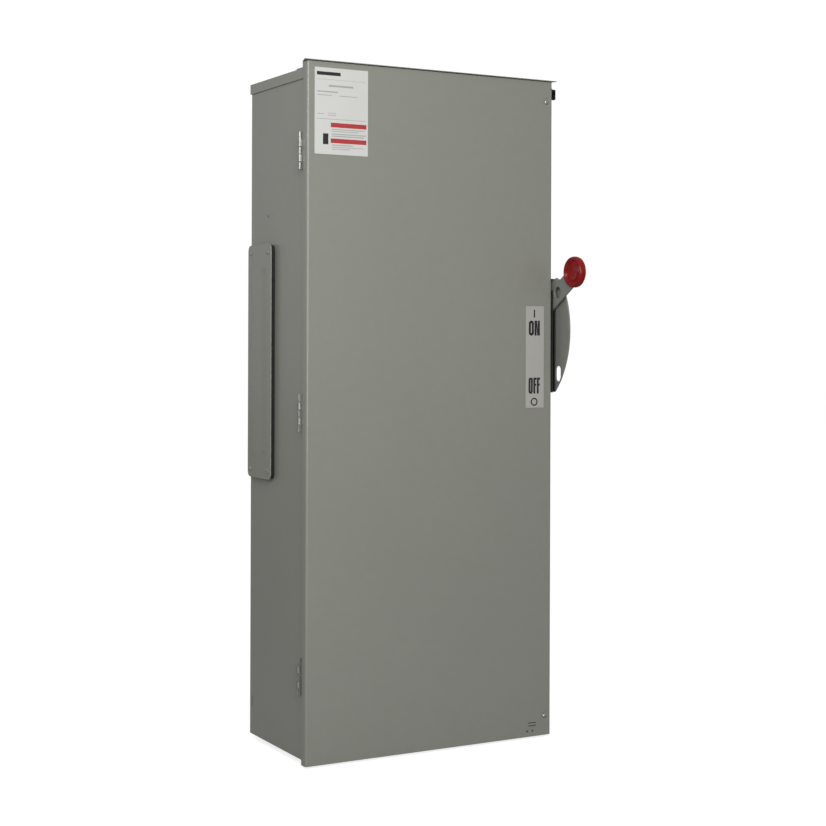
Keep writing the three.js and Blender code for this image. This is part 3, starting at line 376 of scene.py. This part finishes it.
def carved(work, *tools):
    """A bmesh with other bmeshes cut out of it. All of them are freed."""
    pieces = []
    for source in (work, *tools):
        bmesh.ops.recalc_face_normals(source, faces=source.faces)
        mesh = bpy.data.meshes.new("piece")
        source.to_mesh(mesh)
        source.free()
        piece = bpy.data.objects.new("piece", mesh)
        bpy.context.scene.collection.objects.link(piece)
        pieces.append(piece)
    for tool in pieces[1:]:
        modifier = pieces[0].modifiers.new("cut", "BOOLEAN")
        modifier.object = tool
        modifier.operation = "DIFFERENCE"
        modifier.solver = "EXACT"
    result = evaluated_mesh(pieces[0])
    out = bmesh.new()
    out.from_mesh(result)
    bpy.data.meshes.remove(result)
    for piece in pieces:
        mesh = piece.data
        bpy.data.objects.remove(piece)
        bpy.data.meshes.remove(mesh)
    return out


def axes(direction, up=(0, 0, 1)):
    """A turn whose local +Z points along direction."""
    z = Vector(direction).normalized()
    x = Vector(up).cross(z)
    if x.length < 1e-6:
        x = Vector((1, 0, 0))
    x.normalize()
    return Matrix((x, z.cross(x), z)).transposed().to_4x4()


def turned(profile, place, direction, sides=48):
    """A bmesh turned about an axis. Each profile point is (radius, height along direction)."""
    work = bmesh.new()
    rings = []
    for radius, height in profile:
        if radius < 1e-7:
            rings.append([work.verts.new((0, 0, height))])
            continue
        ring = []
        for i in range(sides):
            angle = 2 * math.pi * i / sides
            ring.append(work.verts.new((radius * math.cos(angle), radius * math.sin(angle), height)))
        rings.append(ring)
    closed = len(rings[0]) > 1 and len(rings[-1]) > 1
    pairs = list(zip(rings, rings[1:])) + ([(rings[-1], rings[0])] if closed else [])
    for low, high in pairs:
        for i in range(sides):
            j = (i + 1) % sides
            corners = [low[i % len(low)], low[j % len(low)], high[j % len(high)], high[i % len(high)]]
            work.faces.new(list(dict.fromkeys(corners)))
    work.transform(Matrix.Translation(place) @ axes(direction))
    return work


def prism(outline, low, high, holes=()):
    """A bmesh of a flat outline and its holes, extruded along local Z from low to high."""
    curve = bpy.data.curves.new("outline", "CURVE")
    curve.dimensions = "2D"
    curve.fill_mode = "BOTH"
    curve.extrude = (high - low) / 2
    for loop in (outline, *holes):
        spline = curve.splines.new("POLY")
        spline.points.add(len(loop) - 1)
        for point, (u, v) in zip(spline.points, loop):
            point.co = (u, v, 0, 1)
        spline.use_cyclic_u = True
    holder = bpy.data.objects.new("outline", curve)
    bpy.context.scene.collection.objects.link(holder)
    mesh = evaluated_mesh(holder)
    bpy.data.objects.remove(holder)
    bpy.data.curves.remove(curve)
    work = bmesh.new()
    work.from_mesh(mesh)
    bpy.data.meshes.remove(mesh)
    bmesh.ops.remove_doubles(work, verts=work.verts, dist=MERGE_DISTANCE)
    bmesh.ops.dissolve_limit(work, angle_limit=math.radians(0.2), verts=work.verts, edges=work.edges)
    work.transform(Matrix.Translation((0, 0, (low + high) / 2)))
    return work


def join(*parts):
    """One bmesh holding several; the others are freed."""
    first, *others = parts
    for other in others:
        mesh = bpy.data.meshes.new("part")
        other.to_mesh(mesh)
        other.free()
        first.from_mesh(mesh)
        bpy.data.meshes.remove(mesh)
    return first


def rounded(u0, u1, v0, v1, radius, steps=6):
    """A rectangle with round corners, as a list of points."""
    points = []
    for centre_u, centre_v, start in (
        (u1 - radius, v1 - radius, 0),
        (u0 + radius, v1 - radius, 90),
        (u0 + radius, v0 + radius, 180),
        (u1 - radius, v0 + radius, 270),
    ):
        for i in range(steps + 1):
            angle = math.radians(start + 90 * i / steps)
            points.append((centre_u + radius * math.cos(angle), centre_v + radius * math.sin(angle)))
    return points


def circle(u, v, radius, sides=32):
    angles = [2 * math.pi * i / sides for i in range(sides)]
    return [(u + radius * math.cos(a), v + radius * math.sin(a)) for a in angles]


# Local axes for flat pieces. (u, v, depth) becomes (x, z, -y) on the door, (-y, z, -x) on the
# left wall, and (y, z, x) for a plate that faces sideways.
ON_FRONT = Matrix(((1, 0, 0, 0), (0, 0, -1, 0), (0, 1, 0, 0), (0, 0, 0, 1)))
ON_LEFT = Matrix(((0, 0, -1, 0), (-1, 0, 0, 0), (0, 1, 0, 0), (0, 0, 0, 1)))
SIDEWAYS = Matrix(((0, 0, 1, 0), (1, 0, 0, 0), (0, 1, 0, 0), (0, 0, 0, 1)))
PRINT_THICKNESS = 0.06 * MM
MARK_THICKNESS = 0.12 * MM


# ---- Labels on the door: plain films with printed shapes ----
def on_door(work, x, z, y):
    work.transform(Matrix.Translation((x, y, z)) @ ON_FRONT)
    return work


def film(node, corner, material):
    low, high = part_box(node)
    outline = rounded(0, high.x - low.x, 0, high.z - low.z, corner)
    work = on_door(prism(outline, 0, high.y - low.y), low.x, low.z, high.y)
    soften(work, 0.08 * MM, 1)
    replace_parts(finish_mesh(node + "_film", work, material, "door"), node)
    return low, high


def printed(name, shapes, node, material):
    """Ink on a film. Each shape is (outline, holes) in metres from the film's lower left corner."""
    low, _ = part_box(node)
    parts = [prism(outline, 0, PRINT_THICKNESS, holes) for outline, holes in shapes]
    work = on_door(join(*parts), low.x, low.z, low.y)
    return finish_mesh(name, work, material, "door")


def bar(u, v, width, height):
    return ([(u, v), (u + width, v), (u + width, v + height), (u, v + height)], ())


def letter_o(u, v, width, height, stroke):
    outer = rounded(u, u + width, v, v + height, width * 0.46)
    inner_width = width - 2 * stroke
    inner = rounded(u + stroke, u + width - stroke, v + stroke, v + height - stroke, inner_width * 0.46)
    return (outer, (inner,))


def letter_n(u, v, width, height, stroke):
    right = u + width
    top = v + height
    lean = stroke * 1.25
    return (
        [
            (u, v),
            (u + stroke, v),
            (u + stroke, top - height * 0.36),
            (right - lean, v),
            (right, v),
            (right, top),
            (right - stroke, top),
            (right - stroke, v + height * 0.36),
            (u + lean, top),
            (u, top),
        ],
        (),
    )


def letter_f(u, v, width, height, stroke):
    top = v + height
    middle = v + height * 0.56
    return (
        [
            (u, v),
            (u + stroke, v),
            (u + stroke, middle - stroke * 0.55),
            (u + width * 0.92, middle - stroke * 0.55),
            (u + width * 0.92, middle + stroke * 0.45),
            (u + stroke, middle + stroke * 0.45),
            (u + stroke, top - stroke),
            (u + width, top - stroke),
            (u + width, top),
            (u, top),
        ],
        (),
    )


def switch_label():
    film("on_off_label", 1.5 * MM, SWITCH_FILM)
    stroke = 4.6 * MM
    shapes = [
        bar(17.6 * MM, 168.5 * MM, 3.0 * MM, 14.5 * MM),
        letter_o(6.7 * MM, 135 * MM, 11.2 * MM, 27.8 * MM, stroke),
        letter_n(19.4 * MM, 135 * MM, 11.8 * MM, 27.8 * MM, stroke),
        letter_o(6.5 * MM, 26.4 * MM, 9.4 * MM, 30.2 * MM, stroke * 0.9),
        letter_f(17.2 * MM, 26.6 * MM, 6.9 * MM, 29.8 * MM, stroke * 0.9),
        letter_f(24.9 * MM, 26.6 * MM, 6.9 * MM, 29.8 * MM, stroke * 0.9),
        (circle(19 * MM, 11.2 * MM, 7.6 * MM, 48), (circle(19 * MM, 11.2 * MM, 5.1 * MM, 48),)),
    ]
    printed("switch_label_print", shapes, "on_off_label", INK)


def nameplate():
    """A plain plate: rules and bars stand where a maker would print, and it carries no words."""
    low, high = film("nameplate_label", 1.0 * MM, PLATE_FILM)
    width = high.x - low.x
    # Each row is left, bottom, width and height, as shares of the plate.
    rows = [
        (0.04, 0.862, 0.91, 0.004),
        (0.26, 0.782, 0.46, 0.022),
        (0.05, 0.716, 0.38, 0.014),
        (0.05, 0.678, 0.27, 0.009),
        (0.46, 0.678, 0.34, 0.009),
        (0.05, 0.462, 0.13, 0.008),
        (0.24, 0.474, 0.16, 0.007),
        (0.24, 0.450, 0.16, 0.007),
        (0.04, 0.406, 0.91, 0.006),
        (0.32, 0.288, 0.62, 0.009),
        (0.32, 0.266, 0.50, 0.009),
        (0.32, 0.232, 0.64, 0.012),
        (0.32, 0.208, 0.60, 0.012),
        (0.32, 0.106, 0.40, 0.010),
        (0.32, 0.082, 0.60, 0.008),
        (0.32, 0.060, 0.34, 0.008),
    ]
    height = high.z - low.z
    grey = [bar(u * width, v * height, w * width, h * height) for u, v, w, h in rows]
    printed("nameplate_rules", grey, "nameplate_label", GREY_INK)
    red = [bar(0.30 * width, v * height, 0.67 * width, 0.052 * height) for v in (0.316, 0.134)]
    printed("nameplate_red_bars", red, "nameplate_label", RED_INK)
    header = bar(0.04 * width, 0.912 * height, 0.44 * width, 0.04 * height)
    printed("nameplate_header_bar", [header], "nameplate_label", INK)
    panel = bar(0.155 * width, 0.115 * height, 0.10 * width, 0.125 * height)
    printed("nameplate_dark_panel", [panel], "nameplate_label", INK)


# ---- Screws and marks ----
def slotted_head(radius, height, place, direction, slot_turn=0.0):
    """A domed head with a straight slot, as a bmesh."""
    dome = [(0, 0), (radius * 0.94, 0), (radius, height * 0.16)]
    for i in range(1, 9):
        angle = math.radians(90 * i / 8)
        dome.append((radius * math.cos(angle), height * (0.16 + 0.84 * math.sin(angle))))
    dome[-1] = (0, height)
    slot_half = radius * 0.15
    outline = rounded(-radius * 2, radius * 2, -slot_half, slot_half, 0.01 * MM)
    slot = prism(outline, height * 0.45, height * 2)
    slot.transform(Matrix.Rotation(slot_turn, 4, "Z"))
    head = carved(turned(dome, (0, 0, 0), (0, 0, 1), 40), slot)
    head.transform(Matrix.Translation(place) @ axes(direction))
    return head


def washer(inner, outer, thickness, place, direction):
    edge = thickness * 0.3
    profile = [
        (inner, 0),
        (outer, 0),
        (outer, thickness - edge),
        (outer - edge, thickness),
        (inner + edge, thickness),
        (inner, thickness - edge),
    ]
    return turned(profile, place, direction, 40)


def hinge(number):
    """Softens a hinge, and rolls in the ends of its knuckles so that the joints between them show."""
    low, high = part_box(f"hinge_body_leaf_{number}")
    pin_low, pin_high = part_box(f"hinge_pin_{number}")
    axis = (pin_low + pin_high) / 2
    knuckles, barrel = 5, 3.3 * MM
    length = (high.z - low.z) / knuckles
    groove = [(barrel - 0.9 * MM, 0), (barrel + 0.3 * MM, -1.1 * MM), (barrel + 0.3 * MM, 1.1 * MM)]
    for kind in ("body", "door"):
        rings = [
            turned(groove, (axis.x, axis.y, low.z + i * length), (0, 0, 1), 24) for i in range(knuckles + 1)
        ]
        refine(f"hinge_{kind}_leaf_{number}", 0.25 * MM, HINGE_ZINC, tools=rings)
    refine(f"hinge_pin_{number}", 0.25 * MM, HINGE_ZINC)


SCREW_DISH = {"radius": 10.5 * MM, "depth": 1.1 * MM}


def screw_centres():
    for node in ("door_screw_top", "door_screw_bottom"):
        low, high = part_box(node)
        yield node, (low.x + high.x) / 2, (low.z + high.z) / 2


def door_with_dishes():
    """The door's front sheet is pressed in round each screw, so that its head sits below the surface."""
    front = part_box("door_panel")[0].y
    radius, depth = SCREW_DISH["radius"], SCREW_DISH["depth"]
    profile = [(radius * i / 10, -depth * (1 - (i / 10) ** 2) ** 1.5) for i in range(11)]
    profile += [(radius, 2 * MM), (0, 2 * MM)]
    dishes = [turned(profile, (x, front, z), FRONT, 48) for _, x, z in screw_centres()]
    refine("door_panel", 0.5 * MM, tools=dishes)


def door_screws():
    """Two slotted screws, each on its own body, with their heads down in the door's dishes."""
    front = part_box("door_panel")[0].y
    seat = front + SCREW_DISH["depth"] - 0.1 * MM
    for (node, x, z), turn in zip(screw_centres(), (0.25, -0.9)):
        low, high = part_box(node)
        radius = (high.x - low.x) / 2
        head = slotted_head(radius * 0.94, 2.7 * MM, (x, seat, z), FRONT, turn)
        shank = turned(
            [(0, 0), (2.2 * MM, 0), (3 * MM, 1.4 * MM), (3 * MM, high.y - seat), (0, high.y - seat)],
            (x, high.y, z),
            FRONT,
            24,
        )
        piece = finish_mesh(node + "_fine", join(head, shank), ZINC, BODY_OF[node])
        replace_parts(piece, node)


def cover_screws():
    """Four pan-head screws hold the side cover, one near each corner."""
    low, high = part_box("side_cover")
    face_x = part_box("side_cover_gasket")[0].x - 2.3 * MM
    inset_y, inset_z = 13 * MM, 15 * MM
    number = 0
    for y in (low.y + inset_y, high.y - inset_y):
        for z in (low.z + inset_z, high.z - inset_z):
            number += 1
            head = slotted_head(4.2 * MM, 2.2 * MM, (face_x, y, z), (-1, 0, 0), 0.6 * number)
            finish_mesh(f"side_cover_screw_{number}", head, PAINT, "enclosure")


def wall_marks():
    """A small open hole, four weld dimples and a slot on the left wall. The hole and the slot are near-black
    marks of painted shade.
    """
    wall_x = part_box("enclosure_body")[0].x
    # Each mark is y, z in metres, radius in millimetres, and material.
    # The first mark, the open hole, is a near-black dome: painted shade of its inside.
    marks = [(-0.079, 0.355, 2.4, SHADOW_PAINT), (-0.1335, 0.251, 2.0, PAINT), (-0.133, 0.016, 2.0, PAINT)]
    marks += [(-0.184, 0.138, 1.6, PAINT), (-0.184, -0.30, 1.6, PAINT)]
    for i, (y, z, radius, material) in enumerate(marks, 1):
        r = radius * MM
        dome = turned([(0, 0), (r, 0), (r * 0.8, 0.25 * MM), (0, 0.4 * MM)], (wall_x, y, z), (-1, 0, 0), 24)
        finish_mesh(f"wall_mark_{i}", dome, material, "enclosure", 60)
    # The slot is a flat near-black film on the wall: painted shade of its inside.
    slot = prism(rounded(-1.1 * MM, 1.1 * MM, -10 * MM, 10 * MM, 1 * MM), 0, 0.15 * MM)
    slot.transform(Matrix.Translation((wall_x, -0.0125, -0.543)) @ ON_LEFT)
    finish_mesh("wall_slot_shade", slot, SHADOW_PAINT, "enclosure")


def door_marks():
    """Two small drain louvres and two pinholes near the door's lower right corner, drawn as near-black films:
    painted shade of their openings.
    """
    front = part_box("door_panel")[0].y
    half_length, half_height = 9 * MM, 0.9 * MM
    outlines = [
        rounded(-half_length, half_length, v - half_height, v + half_height, 0.8 * MM)
        for v in (-1.6 * MM, -6.8 * MM)
    ]
    outlines += [circle(u, -16.6 * MM, 2.1 * MM, 20) for u in (-10.8 * MM, 0.8 * MM)]
    shapes = [prism(outline, 0, MARK_THICKNESS) for outline in outlines]
    work = on_door(join(*shapes), 0.2135, -0.5837, front)
    finish_mesh("door_drain_marks", work, SHADOW_PAINT, "door")


def lever_shade_plate():
    """A near-black plate between the door's edge and the lever, on two bosses from the side wall: painted
    shade, standing for the dark gap beside the door's edge.
    """
    lever_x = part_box("handle_lever")[0].x
    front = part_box("door_panel")[0].y
    guard_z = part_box("handle_guard")[0].z + 17 * MM
    inner_x, outer_x = lever_x - 3.3 * MM, lever_x - 0.4 * MM
    back = front + 42 * MM
    wall_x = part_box("enclosure_body")[1].x
    outline = [
        (front, guard_z),
        (back, guard_z),
        (back, 0.195),
        (front, 0.224),
    ]
    plate = prism(outline, inner_x, outer_x)
    plate.transform(SIDEWAYS)
    soften(plate, 0.5 * MM)
    bosses = []
    for z in (0.06, 0.19):
        length = inner_x - wall_x - 0.3 * MM
        profile = [(0, 0), (5 * MM, 0), (4.2 * MM, length), (0, length)]
        bosses.append(turned(profile, (wall_x + 0.3 * MM, front + 33 * MM, z), (1, 0, 0), 28))
    finish_mesh("lever_shade_plate", join(plate, *bosses), SHADE_BLACK_NYLON, "enclosure")


def hood_rivets():
    """Round rivet heads in a row along the hood's seat on the roof."""
    low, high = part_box("drip_hood")
    seat_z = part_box("top_endwall")[1].z + 1.8 * MM
    count, inset = 5, 40 * MM
    profile_mm = [(0, 0), (4.6, 0), (4.4, 0.9), (3.2, 1.9), (1.2, 2.3), (0, 2.3)]
    profile = [(radius * MM, height * MM) for radius, height in profile_mm]
    for i in range(count):
        x = low.x + inset + (high.x - low.x - 2 * inset) * i / (count - 1)
        head = turned(profile, (x, high.y - 13 * MM, seat_z), (0, 0, 1), 28)
        finish_mesh(f"hood_rivet_{i + 1}", head, PAINT, "enclosure", 60)


# ---- Handle ----
def grip():
    """The round moulded grip: a rolled rim round a dished face with a raised ring."""
    low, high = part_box("handle_grip")
    centre = (low + high) / 2
    radius, half = (high.y - low.y) / 2, (high.x - low.x) / 2
    # From the middle out: share of the radius, and share of the half thickness.
    face = [
        (0.0, 0.50),
        (0.30, 0.50),
        (0.36, 0.52),
        (0.40, 0.60),
        (0.46, 0.66),
        (0.53, 0.66),
        (0.58, 0.60),
        (0.61, 0.46),
        (0.65, 0.40),
        (0.69, 0.42),
        (0.73, 0.58),
        (0.77, 0.80),
        (0.82, 0.95),
        (0.87, 1.00),
        (0.92, 0.94),
        (0.96, 0.78),
        (0.985, 0.52),
        (1.0, 0.20),
    ]
    one_side = [(r * radius, -x * half) for r, x in face]
    other_side = [(r * radius, x * half) for r, x in reversed(face)]
    work = turned(one_side + other_side, centre, (1, 0, 0), 96)
    piece = finish_mesh("grip_fine", work, RED, "handle", 70)
    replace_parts(piece, "handle_grip")


def handle_bolt():
    """A hexagon head with a chamfer, over a plain washer."""
    low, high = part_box("handle_bolt")
    centre = (low + high) / 2
    across = (high.z - low.z) / 2
    washer_thickness, chamfer = 1.4 * MM, 0.8 * MM
    height = high.x - low.x
    foot = (low.x, centre.y, centre.z)
    seat = washer(4 * MM, across * 1.12, washer_thickness, foot, (1, 0, 0))
    profile = [
        (0, washer_thickness),
        (across * 0.9, washer_thickness),
        (across * 0.9, height - chamfer),
        (across * 0.78, height),
        (0, height),
    ]
    head = turned(profile, foot, (1, 0, 0), 6)
    piece = finish_mesh("handle_bolt_fine", join(seat, head), ZINC, "handle", 25)
    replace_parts(piece, "handle_bolt")


# ---- Fuses ----
FUSE = {"tab": 32 * MM, "cap": 12 * MM, "tube": 27 * MM, "ferrule": 28.4 * MM}


def fuse_tube(place, length):
    """The paper-wrapped tube between the ferrules, with its ends chamfered."""
    cap, radius = FUSE["cap"], FUSE["tube"]
    rim = radius - 0.6 * MM
    profile = [
        (0, cap),
        (rim, cap),
        (radius, cap + 1 * MM),
        (radius, length - cap - 1 * MM),
        (rim, length - cap),
        (0, length - cap),
    ]
    return turned(profile, place, (0, 0, 1), 64)


def fuse_ferrule(place, direction):
    """A rolled end ferrule with one groove."""
    cap, radius = FUSE["cap"], FUSE["ferrule"]
    groove = 27.6 * MM
    profile = [
        (0, 0),
        (24 * MM, 0),
        (27.2 * MM, 0.9 * MM),
        (radius, 2.4 * MM),
        (radius, cap - 3.4 * MM),
        (groove, cap - 2.8 * MM),
        (groove, cap - 2.0 * MM),
        (radius, cap - 1.4 * MM),
        (27.9 * MM, cap),
        (0, cap),
    ]
    return turned(profile, place, direction, 64)


def fuse_tab(x, y, z0, z1):
    half_width, half_thickness = 12 * MM, 2.5 * MM
    outline = rounded(y - half_width, y + half_width, z0, z1, 1.5 * MM)
    tab = prism(outline, -half_thickness, half_thickness)
    tab.transform(Matrix.Translation((x, 0, 0)) @ SIDEWAYS)
    soften(tab, 0.5 * MM)
    return tab


def fuse(number):
    """A cartridge fuse: a tube, two ferrules and two knife tabs."""
    node = f"fuse_{number}"
    low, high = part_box(node)
    x, y = (low.x + high.x) / 2, (low.y + high.y) / 2
    top, bottom = high.z - FUSE["tab"], low.z + FUSE["tab"]
    tube = fuse_tube((x, y, bottom), top - bottom)
    piece = finish_mesh(f"fuse_tube_{number}", tube, FUSE_TUBE, "enclosure")
    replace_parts(piece, node)
    sunk = 1 * MM
    ends = [
        fuse_ferrule((x, y, bottom), (0, 0, 1)),
        fuse_ferrule((x, y, top), (0, 0, -1)),
        fuse_tab(x, y, low.z, bottom + sunk),
        fuse_tab(x, y, top - sunk, high.z),
    ]
    finish_mesh(f"fuse_ends_{number}", join(*ends), COPPER, "enclosure")


make_camera()
make_floor()
make_studio()

# The bevel in millimetres on each CAD node that is replaced by a softened copy of itself.
REFINED = {
    "door_stiffener": 0.3,
    "enclosure_body": 0.35,
    "top_endwall": 0.5,
    "drip_hood": 0.3,
    "bottom_endwall": 0.3,
    "side_cover": 0.5,
    "side_cover_gasket": 0.5,
    "handle_lever": 0.5,
    "handle_guard": 0.5,
    "guard_wear_pad": 0.4,
    "wall_hasp": 0.4,
    "door_hasp": 0.4,
    "shaft_bush": 0.5,
    "operating_shaft": 0.6,
    "operating_spring": 0.1,
    "mechanism_frame": 0.4,
    "shaft_crank": 0.5,
    "rotor_crank": 0.5,
    "drive_link": 0.5,
    "crossbar": 0.8,
    "switch_base": 1.0,
    "load_base": 1.0,
    "mounting_pan": 0.4,
    "neutral_bar": 0.5,
    "ground_bar": 0.4,
    "line_shield": 0.3,
}
for pole in POLES:
    for kind in ("line_terminal", "hinge_terminal", "load_terminal", "switch_blade"):
        REFINED[f"{kind}_{pole}"] = 0.5
    REFINED[f"arc_chute_{pole}"] = 0.4
for node_name, bevel_mm in REFINED.items():
    refine(node_name, bevel_mm * MM)
for number in HINGES:
    hinge(number)
door_with_dishes()

switch_label()
nameplate()
door_screws()
cover_screws()
wall_marks()
door_marks()
lever_shade_plate()
hood_rivets()
grip()
handle_bolt()
for pole in POLES:
    fuse(pole)
